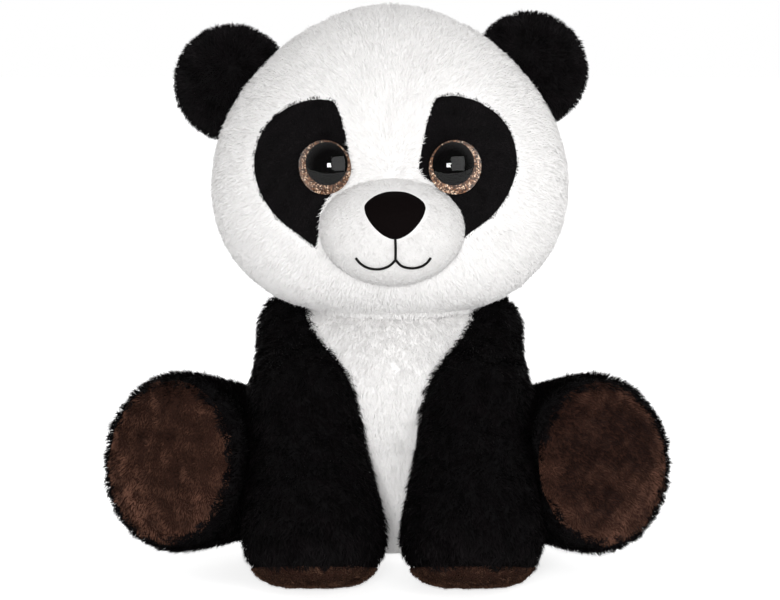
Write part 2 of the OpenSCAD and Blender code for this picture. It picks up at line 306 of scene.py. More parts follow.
class Finish:
    """One material, made of nodes."""

    def __init__(self, name):
        self.material = bpy.data.materials.new(name)
        self.material.use_nodes = True
        self.tree = self.material.node_tree
        self.tree.nodes.clear()

    def node(self, kind, settings=None, sockets=None, output=0):
        made = self.tree.nodes.new("ShaderNode" + kind)
        for name, value in (settings or {}).items():
            if name == "stops":
                while len(made.color_ramp.elements) < len(value):
                    made.color_ramp.elements.new(0.5)
                for element, (position, colour) in zip(made.color_ramp.elements, value):
                    element.position, element.color = position, (*colour, 1)
            else:
                setattr(made, name, value)
        for name, value in (sockets or {}).items():
            if isinstance(value, Wire):
                self.tree.links.new(value.socket, made.inputs[name])
            else:
                made.inputs[name].default_value = value
        return Wire(self, made.outputs[output])

    def mix(self, share, first, second):
        first = first if isinstance(first, Wire) else (*first, 1)
        second = second if isinstance(second, Wire) else (*second, 1)
        return self.node("Mix", {"data_type": "RGBA"}, {0: share, 6: first, 7: second}, 2)

    def speckle(self, size_mm, detail=2.0, roughness=0.5):
        place = self.node("TexCoord", None, None, 3)
        return self.node("TexNoise", None, {"Vector": place, "Scale": 1 / (size_mm * MM),
                                            "Detail": detail, "Roughness": roughness})

    def surface(self, **sockets):
        shader = self.node("BsdfPrincipled", None,
                           {name.replace("_", " "): value for name, value in sockets.items()})
        return self.out(shader)

    def out(self, shader):
        end = self.tree.nodes.new("ShaderNodeOutputMaterial")
        self.tree.links.new(shader.socket, end.inputs["Surface"])
        return self.material


def plush_ground(name, shade, light, bump=0.4):
    """The knitted ground under a pile: the pile's colour, darker in small dips."""
    finish = Finish(name)
    grain = finish.speckle(1.6, 3.0)
    broad = finish.speckle(14, 2.0)
    colour = finish.mix(grain * 0.7 + broad * 0.3, shade, light)
    dips = finish.node("Bump", None, {"Strength": bump, "Distance": 0.0008, "Height": grain})
    return finish.surface(Base_Color=colour, Roughness=0.95, Normal=dips, Specular_IOR_Level=0.1)


def plush_pile(name, root, low_tip, high_tip, roughness=0.85, specular=0.15):
    """Strands of a pile. Across the strip map runs the strand's tone, and up it how far along the strand."""
    finish = Finish(name)
    strip = finish.node("UVMap", {"uv_map": "OFBake"})
    tone = finish.node("SeparateXYZ", None, {0: strip}, 0)
    along = finish.node("SeparateXYZ", None, {0: strip}, 1)
    tips = finish.mix(tone, low_tip, high_tip)
    # Darker towards the root: painted shade deep in the pile, where the strands shade each other.
    colour = finish.mix(along ** 0.7, root, tips)
    return finish.surface(Base_Color=colour, Roughness=roughness, Specular_IOR_Level=specular)


WHITE = (0.83, 0.82, 0.815)
WHITE_SHADE = (0.78, 0.77, 0.765)
white_ground = plush_ground("white plush ground", WHITE_SHADE, WHITE)
white_pile = plush_pile("white plush pile", WHITE_SHADE, (0.80, 0.79, 0.785), (0.85, 0.84, 0.835),
                        specular=0.0)


def pile(name, skin, body, material, density, length, comb, lean=52, width=0.5, keep=None, tuft=0.35,
         tuft_size=7.0, unrest=10, tone=None, seed=1):
    """Sews strands into a skin: each is a bent blade that narrows to its tip and lies along the comb."""
    dice = np.random.default_rng(seed)
    skin.data.calc_loop_triangles()
    points = points_of(skin)
    corners = np.empty(len(skin.data.loop_triangles) * 3, int)
    skin.data.loop_triangles.foreach_get("vertices", corners)
    corners = corners.reshape(-1, 3)
    point_normals = np.array([v.normal for v in skin.data.vertices])
    a, b, c = (points[corners[:, k]] for k in range(3))
    areas = np.linalg.norm(np.cross(b - a, c - a), axis=1) / 2
    count = int(areas.sum() * density * (1))
    chosen = dice.choice(len(areas), count, p=areas / areas.sum())
    u, v = dice.random(count), dice.random(count)
    flip = u + v > 1
    u, v = np.where(flip, 1 - u, u), np.where(flip, 1 - v, v)
    w = 1 - u - v
    roots = a[chosen] * w[:, None] + b[chosen] * u[:, None] + c[chosen] * v[:, None]
    n = unit(sum(point_normals[corners[chosen, k]] * s[:, None] for k, s in enumerate((w, u, v))))
    if keep is not None:
        inside = keep(roots)
        roots, n = roots[inside], n[inside]
    count = len(roots)
    flow = comb(roots, n)
    scatter = np.stack([wander(roots, tuft_size, seed * 10 + k) for k in range(3)], 1) * tuft
    flow = unit(flow) + scatter + dice.normal(size=(count, 3)) * 0.16
    flow = unit(flow - n * (flow * n).sum(1, keepdims=True))
    restless = unrest * wander(roots, tuft_size * 1.3, seed * 10 + 5)
    tilt = np.radians(lean + restless + dice.normal(size=count) * 6)
    tilt = np.clip(tilt, 0.1, 1.4)
    size = length * (1 + 0.16 * wander(roots, tuft_size, seed * 10 + 4)) * dice.uniform(0.75, 1.15, count)
    first = n * np.cos(tilt * 0.75)[:, None] + flow * np.sin(tilt * 0.75)[:, None]
    second = n * np.cos(tilt * 1.25)[:, None] + flow * np.sin(tilt * 1.25)[:, None]
    across = unit(np.cross(first, n) + 1e-4)
    twist = dice.normal(size=count) * 0.5
    across = across * np.cos(twist)[:, None] + np.cross(first, across) * np.sin(twist)[:, None]
    half = width / 2 * dice.uniform(0.8, 1.2, count)[:, None]
    roots = roots - n * 0.3
    middle = roots + first * (size * 0.5)[:, None]
    tips = middle + second * (size * 0.5)[:, None]
    strands = np.stack([roots - across * half, roots + across * half,
                        middle - across * half * 0.85, middle + across * half * 0.85, tips], 1)
    strands[..., 2] = np.maximum(strands[..., 2], 0.15 + 0.2 * dice.random(count)[:, None])
    base = np.arange(count)[:, None] * 5
    triangles = np.concatenate([base + np.array([0, 1, 3]), base + np.array([0, 3, 2]),
                                base + np.array([2, 3, 4])], 1).reshape(-1, 3)
    mesh = bpy.data.meshes.new(name)
    mesh.vertices.add(count * 5)
    mesh.vertices.foreach_set("co", (strands * MM).ravel())
    mesh.loops.add(len(triangles) * 3)
    mesh.loops.foreach_set("vertex_index", triangles.ravel().astype(np.int32))
    mesh.polygons.add(len(triangles))
    mesh.polygons.foreach_set("loop_start", (np.arange(len(triangles)) * 3).astype(np.int32))
    mesh.update(calc_edges=True)
    drift = 0.3 * wander(roots, 11.0, seed * 10 + 7)
    shade = np.clip(0.5 + drift + dice.normal(size=count) * 0.16, 0.02, 0.98)
    if tone is not None:
        shade = np.clip(tone(roots, shade), 0.02, 0.98)
    along = np.array([0.02, 0.02, 0.5, 0.5, 0.98])
    strip = np.stack([np.repeat(shade, 9), along[(triangles % 5).ravel()]], 1)
    layer = mesh.uv_layers.new(name="OFBake")
    layer.data.foreach_set("uv", strip.astype(np.float32).ravel())
    mesh.materials.append(material)
    strands_piece = bpy.data.objects.new(name, mesh)
    bpy.context.scene.collection.objects.link(strands_piece)
    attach(strands_piece, body)
    return strands_piece


def dress(skin, body, ground, nodes):
    """Gives a stuffed panel its fabric, its body and its CAD nodes."""
    skin.data.materials.clear()
    skin.data.materials.append(ground)
    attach(skin, body)
    if nodes:
        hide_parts(*nodes)


head_low, head_high = cad_low_high("head_face", "head_side_left", "head_side_right", "head_gusset")
head_top = head_high[2]
head_mid = np.array([0, (head_low[1] + head_high[1]) / 2, head_top - 80])
CROWN_RADII = (90, 81, 80)
CROWN_PINCH = 0.16                  # how much narrower the top of the crown is than a plain oval
CHEEK_HALF_SPAN = 40
CHEEK_RADIUS = 55
CHEEK_DROP = 28
CHIN_PLACE = np.array([1, -20, -58])
CHIN_RADII = (62, 39, 25)
GUSSET_HALF_WIDTH = 38
FACE_SEAM = -18
MUZZLE_CENTRE = np.array([1, -77, 193])
MUZZLE_RADII = np.array([38.5, 28.5, 30])


def head_shape(points):
    rise = np.clip((points[..., 2] - head_mid[2]) / CROWN_RADII[2], 0, 1)
    narrowed = points * np.stack([1 + CROWN_PINCH * rise ** 2, np.ones_like(rise), np.ones_like(rise)], -1)
    crown = ball(narrowed, head_mid, CROWN_RADII)
    cheek = head_mid - np.array([0, 2, CHEEK_DROP])
    span = np.array([CHEEK_HALF_SPAN, 0, 0])
    chin = ball(points, head_mid + CHIN_PLACE, CHIN_RADII)
    face = joined(crown, roll(points, cheek - span, cheek + span, CHEEK_RADIUS, CHEEK_RADIUS), 26)
    return joined(face, chin, 18)


def face_seam(points):
    return points[:, 1] - FACE_SEAM


def gusset_seam(points):
    off = np.abs(points[:, 0]) - GUSSET_HALF_WIDTH
    return np.where(points[:, 1] > FACE_SEAM, off, np.hypot(off, points[:, 1] - FACE_SEAM))


def head_panel(centres):
    side = np.where(centres[:, 0] > GUSSET_HALF_WIDTH, 1, np.where(centres[:, 0] < -GUSSET_HALF_WIDTH, 2, 3))
    return np.where(centres[:, 1] < FACE_SEAM, 0, side)


head_form = stuffed_form("head form", head_shape, head_mid - [0, 0, 20], head_mid + [0, 0, 4], 76, 132, 110)
head_seams = near_seams([face_seam, gusset_seam], 2.4)
plump(head_form, head_seams, 2.0, pressure=3.0)
head_names = ["head_face_skin", "head_side_left_skin", "head_side_right_skin", "head_gusset_skin"]
head_panels = cut_out(
    head_form,
    [((0, FACE_SEAM, 0), (0, 1, 0)), ((GUSSET_HALF_WIDTH, 0, 0), (1, 0, 0)),
     ((-GUSSET_HALF_WIDTH, 0, 0), (1, 0, 0))],
    head_names, head_panel, groove=lambda p: 0.9 * near_seams([face_seam, gusset_seam], 3.0)(p),
)
for panel, nodes in zip(head_panels, (["head_face", "head_stuffing"], ["head_side_left"],
                                      ["head_side_right"], ["head_gusset"])):
    dress(panel, "head", white_ground, nodes)
head_tree = tree_of(*head_panels)


# Eye patches. Two black short pile shapes with a pointed lower corner, let into the face panel round each
# eye. They stand about a millimetre proud, and their pile covers the seam.
PATCH_MIDDLE = np.array([46, 228])
PATCH_OUTLINE = np.array([
    (17.6, 221.8), (18.8, 234), (22, 249), (26.5, 260.2), (32, 262), (40, 261.6), (50, 258.5),
    (60.5, 251.5), (68, 241.5), (71.5, 228), (70, 215.5), (64.5, 204), (56.5, 194.5), (47, 187.5),
    (39.5, 182), (36.6, 181.5), (35.6, 189), (34.5, 200), (30.5, 208.4), (24.5, 215.6),
])
# The patches are sewn on a little unevenly.
PATCH_SHIFT = {"left": np.array([-3.0, 2.0]), "right": np.array([-2.0, 0.0])}
PATCH_PROUD = 1.2
BLACK = (0.003, 0.0022, 0.0027)
black_ground = plush_ground("black plush ground", (0.002, 0.002, 0.002), BLACK, 0.3)
# Its lightest tips, in patches that follow the strands' tone, are painted sheen.
short_black_pile = plush_pile("short black pile", (0.0005, 0.0004, 0.0004), (0.0012, 0.0009, 0.001),
                              (0.009, 0.007, 0.008), roughness=0.6, specular=0.06)


def smooth_loop(points, between):
    """More points on a smooth closed line through the given ones."""
    before, after, next_after = np.roll(points, 1, 0), np.roll(points, -1, 0), np.roll(points, -2, 0)
    found = []
    for t in np.linspace(0, 1, between, endpoint=False):
        found.append(0.5 * (2 * points + (after - before) * t
                            + (2 * before - 5 * points + 4 * after - next_after) * t ** 2
                            + (3 * points - before - 3 * after + next_after) * t ** 3))
    return np.stack(found, 1).reshape(-1, 2)


class Outline:
    """A closed line round a middle point, in x and z."""

    def __init__(self, points, middle, between=4):
        self.points, self.middle = smooth_loop(np.array(points, float), between), np.array(middle, float)
        off = self.points - self.middle
        angle = np.arctan2(off[:, 1], off[:, 0])
        order = np.argsort(angle)
        self.angles, self.radii = angle[order], np.linalg.norm(off, axis=1)[order]

    def share(self, x, z):
        """0 at the middle, 1 on the line, more outside it."""
        off_x, off_z = x - self.middle[0], z - self.middle[1]
        edge = np.interp(np.arctan2(off_z, off_x), self.angles, self.radii, period=2 * math.pi)
        return np.hypot(off_x, off_z) / edge


def inlay(name, outline, tree, proud, rings, edge_drop, dome=0.0, power=10):
    """A piece cut to an outline, laid over a surface, with its edge tucked in."""
    points, faces, count = [], [], len(outline.points)
    for ring in range(rings + 1):
        share = (ring / rings) ** 0.8
        line = outline.middle + (outline.points - outline.middle) * share if ring else [outline.middle]
        for x, z in line:
            lift = proud * (1 - share ** power) + dome * (1 - share ** 2) - edge_drop * share ** 24
            points.append((x, seen_from_front(tree, x, z) - lift, z))
    for k in range(count):
        after = (k + 1) % count
        faces.append((0, 1 + k, 1 + after))
        for ring in range(rings - 1):
            a, b = 1 + ring * count, 1 + (ring + 1) * count
            faces.append((a + k, b + k, b + after, a + after))
    piece = mesh_piece(name, points, faces)
    piece.data.validate()
    flip_to(piece, np.array([0, -1, 0]))
    return piece


def flip_to(piece, outward):
    """Turns the faces so that most of them look along a direction."""
    total = sum((Vector(p.normal) * p.area for p in piece.data.polygons), Vector())
    if total.dot(Vector(outward)) < 0:
        piece.data.flip_normals()
        piece.data.update()


eye_places, patch_lines, patches = {}, {}, {}
for side, s in SIDES.items():
    low, high = cad_low_high(f"eye_iris_{side}")
    eye_places[side] = (low + high) / 2
    patch_lines[side] = Outline(PATCH_OUTLINE * [s, 1] + PATCH_SHIFT[side],
                                PATCH_MIDDLE * [s, 1] + PATCH_SHIFT[side])
    patches[side] = inlay(f"eye_patch_{side}_skin", patch_lines[side], head_tree, PATCH_PROUD, 9, 0.4)
    dress(patches[side], "head", black_ground, [f"eye_patch_{side}"])


# Muzzle. A short pile cup sewn to the face and stuffed with the head, so it stands well forward under the
# eyes. Its ground and pile are a darker white than the head's, and its pile is clipped shorter.
def muzzle_shape(points):
    snout = ball(points, MUZZLE_CENTRE, MUZZLE_RADII)
    back = ball(points, MUZZLE_CENTRE + [0, 16, -2], MUZZLE_RADII * [0.98, 1, 0.98])
    return joined(snout, back, 8)


muzzle = stuffed_form("muzzle_skin", muzzle_shape, MUZZLE_CENTRE - [6, 0, 0], MUZZLE_CENTRE + [6, 0, 0],
                      44, 72, 55)
plump(muzzle, lambda p: (p[:, 1] > -66).astype(float), 1.0, pressure=2.0)
clipped_ground = plush_ground("clipped white ground", (0.67, 0.66, 0.655), (0.71, 0.70, 0.695))
dress(muzzle, "head", clipped_ground, ["muzzle"])
muzzle_tree = tree_of(muzzle)


# Nose. A rounded triangle of dark brown velour over a little wadding, stitched down all round.
NOSE_MIDDLE = np.array([2.6, 203.0])
NOSE_HALF = [(0, 11.6), (6, 11.0), (11.5, 8.8), (15.6, 5.6), (16.6, 2.6), (15.4, -1.6), (12, -6.6),
             (7.6, -10.8), (3.2, -13.2)]
nose_line = Outline([NOSE_MIDDLE + point for point in NOSE_HALF] + [NOSE_MIDDLE + (0, -13.8)]
                    + [NOSE_MIDDLE + (-x, z) for x, z in NOSE_HALF[:0:-1]], NOSE_MIDDLE)
nose_velour = Finish("nose velour")
tone_pattern = nose_velour.speckle(0.7, 4.0, 0.7)
nose_colour = nose_velour.mix(tone_pattern, (0.001, 0.0006, 0.0006), (0.005, 0.003, 0.003))
nose_grain = nose_velour.node("Bump", None, {"Strength": 0.5, "Distance": 0.0004, "Height": tone_pattern})
nose_velour.surface(Base_Color=nose_colour, Roughness=0.8, Specular_IOR_Level=0.03, Normal=nose_grain)
nose = inlay("nose_pad", nose_line, muzzle_tree, 1.5, 10, 0.9, dome=2.2)
nose.data.materials.append(nose_velour.material)
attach(nose, "head")
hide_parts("nose")


# Mouth. Black thread, embroidered on the muzzle: a line down from the nose and a smile to each side of it.
# The thread lies on top of the clipped pile.
THREAD_RADIUS = 0.68
black_thread = Finish("black thread")
twist = black_thread.speckle(0.5, 2.0)
black_thread.surface(
    Base_Color=black_thread.mix(twist, (0.002, 0.002, 0.002), (0.008, 0.007, 0.007)), Roughness=0.7,
    Specular_IOR_Level=0.1,
    Normal=black_thread.node("Bump", None, {"Strength": 0.6, "Distance": 0.0003, "Height": twist}))


def thread(name, path, radius, around=8):
    """A thread that follows a path of points, in millimetres."""
    path = np.array(path, float)
    ahead = np.roll(path, -1, 0) - np.roll(path, 1, 0)
    ahead[0], ahead[-1] = path[1] - path[0], path[-1] - path[-2]
    ahead = unit(ahead)
    side = unit(np.cross(ahead, [0.0, 1.0, 0.0]))
    up = np.cross(side, ahead)
    points, faces = [], []
    for place, u, v in zip(path, side, up):
        for k in range(around):
            angle = 2 * math.pi * k / around
            points.append(place + radius * (math.cos(angle) * u + math.sin(angle) * v))
    for i in range(len(path) - 1):
        a, b = i * around, (i + 1) * around
        for k in range(around):
            after = (k + 1) % around
            faces.append((a + k, a + after, b + after, b + k))
    faces += [tuple(range(around))[::-1], tuple((len(path) - 1) * around + k for k in range(around))]
    return mesh_piece(name, points, faces)


MOUTH_MIDDLE = (2.9, 178.6)
smile = {
    "drop": [(2.7, 190.5), (2.9, 186), MOUTH_MIDDLE],
    "left": [MOUTH_MIDDLE, (6.2, 175.2), (11, 173.8), (15.8, 174.4), (19.2, 176.4), (21.4, 179.2)],
    "right": [MOUTH_MIDDLE, (-0.6, 175.2), (-5.4, 173.4), (-10.8, 173.7), (-15, 175.8), (-18, 179.2)],
}


def smooth_path(points, steps):
    """A smooth open line through some points."""
    points = np.array(points, float)
    padded_points = np.concatenate([[2 * points[0] - points[1]], points, [2 * points[-1] - points[-2]]])
    found = []
    for i in range(len(points) - 1):
        a, b, c, d = padded_points[i:i + 4]
        for t in np.linspace(0, 1, steps, endpoint=False):
            found.append(0.5 * (2 * b + (c - a) * t + (2 * a - 5 * b + 4 * c - d) * t ** 2
                                + (3 * b - a - 3 * c + d) * t ** 3))
    return np.array(found + [points[-1]])


for name, points in smile.items():
    path = [(x, seen_from_front(muzzle_tree, x, z) - 1.3, z) for x, z in smooth_path(points, 6)]
    stitched = thread(f"mouth_{name}", path, THREAD_RADIUS)
    stitched.data.materials.append(black_thread.material)
    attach(stitched, "head")
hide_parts("mouth_stitching")


# Pile of the head. Long on the crown and cheeks, brushed down and away from the nose, and clipped short on
# the muzzle and the eye patches.
def away_from_nose(points, normals):
    out = points - np.array([0, -105, 215])
    return unit(out) * [1, 0.5, 1] + np.array([0, 0, -0.35])


def off_the_face_inlays(points):
    clear = ball(points, MUZZLE_CENTRE, MUZZLE_RADII) > -1
    for side in SIDES:
        front = points[:, 1] < -30
        clear &= ~((patch_lines[side].share(points[:, 0], points[:, 2]) < 1.01) & front)
    return clear


for number, (panel, density) in enumerate(zip(head_panels, (1.5, 0.9, 0.9, 0.8))):
    pile(panel.name.replace("skin", "pile"), panel, "head", white_pile, density, 3.8, away_from_nose, lean=66,
         width=0.45, keep=off_the_face_inlays, seed=11 + number, tuft=0.22, tuft_size=9, unrest=4)


def clear_of_nose_and_back(points):
    off_nose = nose_line.share(points[:, 0], points[:, 2]) > 1.03
    return (points[:, 1] < -62) & off_nose


clipped_pile = plush_pile("clipped white pile", (0.66, 0.65, 0.645), (0.68, 0.67, 0.665), (0.72, 0.71, 0.705),
                          specular=0.0)
pile("muzzle_pile", muzzle, "head", clipped_pile, 2.2, 1.9, away_from_nose, lean=66, width=0.4,
     keep=clear_of_nose_and_back, seed=21, tuft=0.2, tuft_size=6, unrest=3)

for side, s in SIDES.items():
    eye = eye_places[side]

    def round_the_eye(points, normals):
        return unit((points - eye) * [1, 0, 1]) + np.array([0, 0, -0.4])

    def clear_of_eye(points):
        off_eye = np.hypot(points[:, 0] - eye[0], points[:, 2] - eye[2]) > 13.6
        return off_eye & (ball(points, MUZZLE_CENTRE, MUZZLE_RADII) > -0.5)

    pile(f"eye_patch_{side}_pile", patches[side], "head", short_black_pile, 2.8, 1.6, round_the_eye, lean=64,
         width=0.38, keep=clear_of_eye, seed=31 + s, tuft=0.3, tuft_size=5)


# Eyes. Moulded safety eyes: a clear dome over a copper glitter iris and a large black pupil, whose post goes
# through the patch into a lock washer. The turned and moulded CAD parts are right, so they get finishes only.
clear_dome = Finish("clear dome")
outer_face = 1 - clear_dome.node("NewGeometry", None, None, 6)
thinly = clear_dome.node("Fresnel", None, {"IOR": 1.38}) * outer_face
shine = clear_dome.node("BsdfGlossy", None, {"Color": (1, 1, 1, 1), "Roughness": 0.01})
through = clear_dome.node("BsdfTransparent", None, {"Color": (1, 1, 1, 1)})
clear_dome.out(clear_dome.node("MixShader", None, {0: thinly, 1: through, 2: shine}))

copper_glitter = Finish("copper glitter")
place = copper_glitter.node("TexCoord", None, None, 3)
flakes = copper_glitter.node("TexVoronoi", None, {"Vector": place, "Scale": 1500.0}, 1)
flake_tone = copper_glitter.node("SeparateXYZ", None, {0: flakes}, 0)
# The flakes run from dark to nearly white: partly the glitter's own flake colours, partly painted glints, the
# lightest flakes standing in for ones that catch the light.
copper = copper_glitter.node("ValToRGB", {"stops": [
    (0.0, (0.012, 0.005, 0.003)), (0.5, (0.09, 0.036, 0.016)), (0.8, (0.30, 0.14, 0.07)),
    (1.0, (1.0, 0.8, 0.6))]},
    {0: flake_tone})
facets = copper_glitter.node("Bump", None, {"Strength": 0.8, "Distance": 0.0004, "Height": flake_tone})
copper_glitter.surface(Base_Color=copper, Metallic=0.35, Roughness=0.35, Normal=facets)

pupil_plastic = Finish("pupil plastic")
polish = pupil_plastic.speckle(2.0, 2.0)
pupil_plastic.surface(Base_Color=pupil_plastic.mix(polish, (0.0004, 0.0003, 0.0003), (0.0012, 0.001, 0.001)),
                      Roughness=0.4, Specular_IOR_Level=0.0)

washer_plastic = Finish("washer plastic")
mould = washer_plastic.speckle(1.5, 2.0)
washer_plastic.surface(Base_Color=washer_plastic.mix(mould, (0.7, 0.7, 0.69), (0.8, 0.8, 0.79)),
                       Roughness=washer_plastic.speckle(3.0) * 0.2 + 0.35)
for side in SIDES:
    for part, finish in (("lens", clear_dome), ("iris", copper_glitter), ("pupil_post", pupil_plastic),
                         ("washer", washer_plastic)):
        node = frame["nodes"][f"eye_{part}_{side}"]
        node.data.materials.clear()
        node.data.materials.append(finish.material)


# Ears. A front and a back of black short pile, sewn round the rim, turned and lightly wadded, then sewn to
# the crown. The left one sits a few millimetres higher.
EAR_RADIUS, EAR_THICK = 31.5, 11.0
EAR_CENTRES = {"left": np.array([77, 4, 273]), "right": np.array([-87.5, 4, 266])}
for side, s in SIDES.items():
    centre = EAR_CENTRES[side]

    def ear_shape(points):
        off = points - centre
        radius = np.hypot(off[..., 0], off[..., 2])
        thick = EAR_THICK * np.sqrt(np.clip(1 - (radius / EAR_RADIUS) ** 3.2, 0, 1))
        dish = 3.0 * np.exp(-(radius / 14) ** 2)
        front = np.where(off[..., 1] < 0, thick - dish, thick)
        return np.where(radius > EAR_RADIUS, radius - EAR_RADIUS + 0.01, np.abs(off[..., 1]) - front)

    ear_form = stuffed_form(f"ear {side} form", ear_shape, centre - [0, 0.6, 0], centre + [0, 0.6, 0],
                            34, 72, 44)

    def ear_rim(points):
        return points[:, 1] - centre[1]

    front_panel, back_panel = cut_out(
        ear_form, [((0, centre[1], 0), (0, 1, 0))], [f"ear_front_{side}_skin", f"ear_back_{side}_skin"],
        lambda c: (c[:, 1] > centre[1]).astype(int), groove=lambda p: 0.5 * np.exp(-(ear_rim(p) / 1.6) ** 2))

    def from_ear_middle(points, normals):
        out = (points - centre) * [1, 0, 1]
        return unit(out + np.array([0, 0, -9.0]))

    for panel, node, density in ((front_panel, "ear_front", 1.6), (back_panel, "ear_back", 1.0)):
        nodes = [f"{node}_{side}"] + ([f"ear_wadding_{side}"] if node == "ear_front" else [])
        dress(panel, f"ear_{side}", black_ground, nodes)
        pile(f"{node}_{side}_pile", panel, f"ear_{side}", short_black_pile, density, 3.6, from_ear_middle,
             lean=48, width=0.45, keep=lambda p: head_shape(p) > -3, seed=41 + s + len(node), tuft=0.4,
             tuft_size=6)


# Neck. A short stuffed roll of white plush that fills the space between the chin and the chest.
NECK = pivot("head_turn")


def neck_shape(points):
    return ball(points, NECK + [2, -6, 0], (50, 35, 13))


neck = stuffed_form("neck_skin", neck_shape, NECK + [-12, -14, 4], NECK + [16, -14, 4], 40, 60, 75)
dress(neck, "neck", white_ground, ["neck_panel", "neck_stuffing"])


def brushed_down(points, normals):
    return np.tile([0.0, -0.1, -1.0], (len(points), 1)) + unit(points * [1, 1, 0]) * 0.25


pile("neck_pile", neck, "neck", white_pile, 1.3, 3.6, brushed_down, lean=66, unrest=4,
     keep=lambda p: (p[:, 1] < 12) & (head_shape(p) > -2), seed=51, tuft=0.25, tuft_size=8)


# Body. White belly and under belly in front, a black yoke over the shoulders and upper back, a white lower
# back and a flat seat. It is stuffed, with a bag of pellets in the seat to keep it upright.
BODY_SEAM = 3.0
BELLY_FOLD = 66.0
YOKE_EDGE = 92.0
SEAT_EDGE = 7.0
BELLY_HALF_WIDTH = 46.0
BODY_BACK = 6.0


def body_shape(points):
    hips = ball(points, (0, BODY_BACK, 44), (66, 52, 46))
    belly = ball(points, (0, -7, 98), (55, 48, 50))
    shoulders = roll(points, (-36, 0, 121), (36, 0, 121), 27, 27)
    form = joined(joined(hips, belly, 24), shoulders, 20)
    return pressed(form, -points[..., 2], 10)


def side_seam(points):
    return points[:, 1] - BODY_SEAM


def fold(points):
    return np.where(points[:, 1] < BODY_SEAM, points[:, 2] - BELLY_FOLD, points[:, 2] - YOKE_EDGE)


def body_panel(centres):
    x, y, z = centres.T
    front = np.where(z > BELLY_FOLD, np.where((np.abs(x) > BELLY_HALF_WIDTH) & (z > YOKE_EDGE), 2, 0), 1)
    back = np.where(z > YOKE_EDGE, 2, 3)
    return np.where(z < SEAT_EDGE, 4, np.where(y < BODY_SEAM, front, back))


body_form = stuffed_form("body form", body_shape, (0, 0, 48), (0, 0, 108), 70, 96, 90)
body_seams = near_seams([side_seam, fold, lambda p: p[:, 2] - SEAT_EDGE], 3.0)
plump(body_form, lambda p: np.maximum(body_seams(p), (p[:, 2] < SEAT_EDGE).astype(float)), 2.5)
body_names = ["belly_skin", "under_belly_skin", "yoke_skin", "lower_back_skin", "seat_skin"]
body_panels = cut_out(
    body_form,
    [((0, BODY_SEAM, 0), (0, 1, 0)), ((0, 0, BELLY_FOLD), (0, 0, 1)), ((0, 0, YOKE_EDGE), (0, 0, 1)),
     ((0, 0, SEAT_EDGE), (0, 0, 1)), ((BELLY_HALF_WIDTH, 0, 0), (1, 0, 0)),
     ((-BELLY_HALF_WIDTH, 0, 0), (1, 0, 0))],
    body_names, body_panel, groove=lambda p: 1.0 * near_seams([side_seam, fold], 3.0)(p))
body_nodes = [["belly_panel", "body_stuffing", "pellet_bag"], ["under_belly_panel"], ["back_yoke"],
              ["lower_back_panel"], ["seat_panel"]]
# Its lightest tips, in patches that follow the strands' tone, are painted sheen.
long_black_pile = plush_pile("long black pile", (0.0004, 0.0003, 0.0003), (0.0009, 0.0006, 0.0007),
                             (0.007, 0.0052, 0.006), roughness=0.6, specular=0.05)
for number, (panel, nodes) in enumerate(zip(body_panels, body_nodes)):
    black = panel.name == "yoke_skin"
    dress(panel, "torso", black_ground if black else white_ground,
          nodes)
    if panel.name != "seat_skin":
        pile(panel.name.replace("skin", "pile"), panel, "torso", long_black_pile if black else white_pile,
             1.5 if number == 0 else 0.9, 5.0 if black else 3.8, brushed_down, lean=68, tuft=0.14, unrest=2,
             keep=lambda p: (neck_shape(p) > -2) & (head_shape(p) > -2), seed=61 + number)
body_tree = tree_of(*body_panels)


# Closing stitches and care label. The back is closed last, with a ladder of white thread, and a blank satin
# label is caught in the same seam.
STITCHES, STITCH_PITCH, STITCH_LOW = 7, 5.0, 40.0
white_thread = Finish("white thread")
strand_tone = white_thread.mix(white_thread.speckle(0.5), (0.7, 0.7, 0.68), (0.85, 0.85, 0.83))
white_thread.surface(Base_Color=strand_tone, Roughness=0.6)
for number in range(STITCHES):
    z = STITCH_LOW + number * STITCH_PITCH
    path = []
    for x in np.linspace(-3, 3, 7):
        hit = body_tree.ray_cast(Vector((x, 400, z)), Vector((0, -1, 0)))[0]
        path.append((x, hit.y + 0.5 - 1.2 * (x / 3) ** 4, z + 0.4 * x / 3))
    stitch = thread(f"closing_stitch_{number + 1}", path, 0.45)
    stitch.data.materials.append(white_thread.material)
    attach(stitch, "torso")
    if number == 0:
        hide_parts("closing_stitches")

LABEL_SIZE = (18.0, 15.0)
label_low, _ = cad_low_high("care_label")
label_root = body_tree.ray_cast(Vector((label_low[0], 400, label_low[2] + 7)), Vector((0, -1, 0)))[0]
label_points, label_faces, steps = [], [], 12
for i in range(steps + 1):
    out = i / steps * LABEL_SIZE[0]
    for j in range(steps + 1):
        z = label_low[2] + j / steps * LABEL_SIZE[1]
        sway = 3.2 * math.sin(out / LABEL_SIZE[0] * 1.7) ** 2 + 0.5 * math.sin(j / steps * 3)
        label_points.append((label_root.x + sway, label_root.y - 1.5 + out * 0.93, z - 0.12 * out))
for i in range(steps):
    for j in range(steps):
        a = i * (steps + 1) + j
        label_faces.append((a, a + 1, a + steps + 2, a + steps + 1))
label = mesh_piece("care_label_sheet", label_points, label_faces)
thick = label.modifiers.new("thickness", "SOLIDIFY")
thick.thickness = 0.0004
satin = Finish("label satin")
weave = satin.node("TexWave", {"bands_direction": "Z"}, {"Vector": satin.node("TexCoord", None, None, 3),
                                                         "Scale": 900.0, "Distortion": 0.4})
satin.surface(Base_Color=satin.mix(weave, (0.80, 0.80, 0.79), (0.9, 0.9, 0.89)), Roughness=0.4,
              Normal=satin.node("Bump", None, {"Strength": 0.3, "Distance": 0.0002, "Height": weave}))
label.data.materials.append(satin.material)
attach(label, "torso")
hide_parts("care_label")


